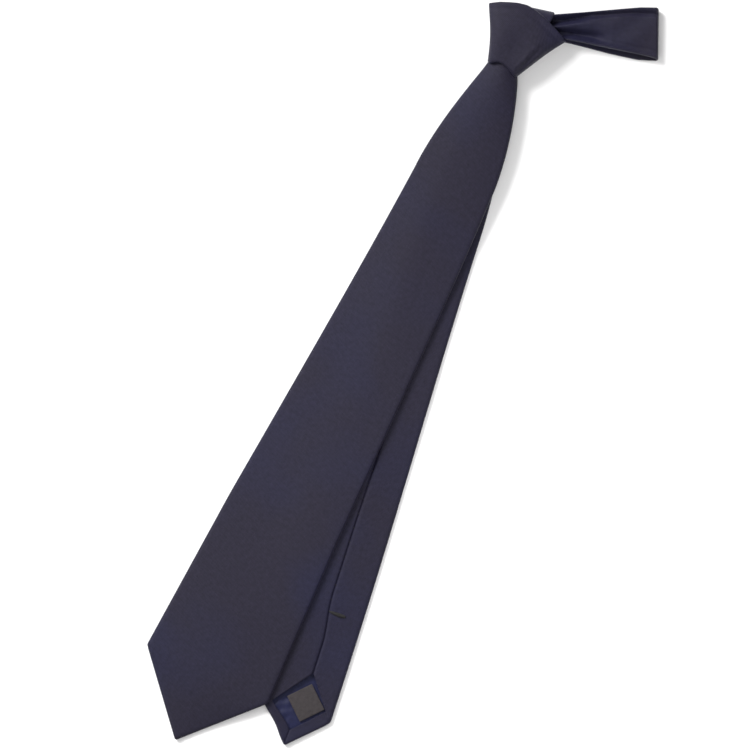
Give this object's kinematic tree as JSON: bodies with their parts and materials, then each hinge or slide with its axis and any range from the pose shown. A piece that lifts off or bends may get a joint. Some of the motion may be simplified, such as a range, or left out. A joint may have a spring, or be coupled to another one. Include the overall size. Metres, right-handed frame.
{
  "type": "necktie",
  "caption": "Lined silk necktie tied in a four-in-hand knot, with a wide front blade, a turned-over tail and a flattened neck loop.",
  "frame": {"origin": "on the table under the middle of the knot, on the flat back of its last pass", "axes": "+Y from the front blade's tip up to the knot, +Z from the table towards the tie's front, +X to the right seen from the front"},
  "size_m": [0.1198, 0.5205, 0.0179],
  "materials": {
    "navy_silk": "satin",
    "blue_satin": "satin",
    "wool_interlining": "matte",
    "dark_thread": "matte",
    "woven_label": "matte"
  },
  "bodies": {
    "knot": {"knot_band_silk": "navy_silk", "knot_band_interlining": "wool_interlining", "knot_over_fold_silk": "navy_silk", "knot_over_fold_interlining": "wool_interlining", "knot_cross_pass_silk": "navy_silk", "knot_cross_pass_interlining": "wool_interlining"},
    "front_blade": {"front_silk": "navy_silk", "front_interlining": "wool_interlining", "front_tipping": "blue_satin", "front_slip_stitch": "dark_thread", "front_bar_tack": "dark_thread", "keeper_loop": "navy_silk", "keeper_tack_left": "dark_thread", "keeper_tack_right": "dark_thread"},
    "tail_shank": {"tail_shank_silk": "navy_silk", "tail_shank_interlining": "wool_interlining"},
    "tail": {"tail_silk": "navy_silk", "tail_interlining": "wool_interlining", "tail_tipping": "blue_satin", "tail_slip_stitch": "dark_thread", "tail_bar_tack": "dark_thread", "tail_label": "woven_label", "label_stitch_1": "dark_thread", "label_stitch_2": "dark_thread", "label_stitch_3": "dark_thread", "label_stitch_4": "dark_thread"},
    "neck_root": {"neck_root_lower_silk": "navy_silk", "neck_root_lower_interlining": "wool_interlining", "neck_root_upper_silk": "navy_silk", "neck_root_upper_interlining": "wool_interlining"},
    "neck_loop": {"neck_loop_silk": "navy_silk", "neck_loop_interlining": "wool_interlining", "neck_loop_slip_stitch": "dark_thread"}
  },
  "joints": [
    {"name": "front_blade_lift", "type": "hinge", "parent": "knot", "child": "front_blade", "pos_m": [0, -0.02, 0.0135], "axis": [-1, 0, 0], "range_deg": [0, 100]},
    {"name": "tail_pull", "type": "slide", "parent": "knot", "child": "tail_shank", "axis": [0.1418, -0.9899, 0], "range_m": [-0.008, 0.012]},
    {"name": "tail_swing", "type": "hinge", "parent": "tail_shank", "child": "tail", "pos_m": [0.00218, -0.02724, 0.0054], "axis": [0, 0, 1], "range_deg": [0, 30]},
    {"name": "neck_take_up", "type": "slide", "parent": "knot", "child": "neck_root", "axis": [-0.9225, -0.3859, 0], "range_m": [-0.004, 0.006]},
    {"name": "neck_loop_lift", "type": "hinge", "parent": "neck_root", "child": "neck_loop", "pos_m": [0.0285, 0.02367, 0.0115], "axis": [0.3859, -0.9225, 0], "range_deg": [0, 75]}
  ],
  "couplings": [
    {"joint": "neck_take_up", "follows": "tail_pull", "ratio": 0.5}
  ]
}
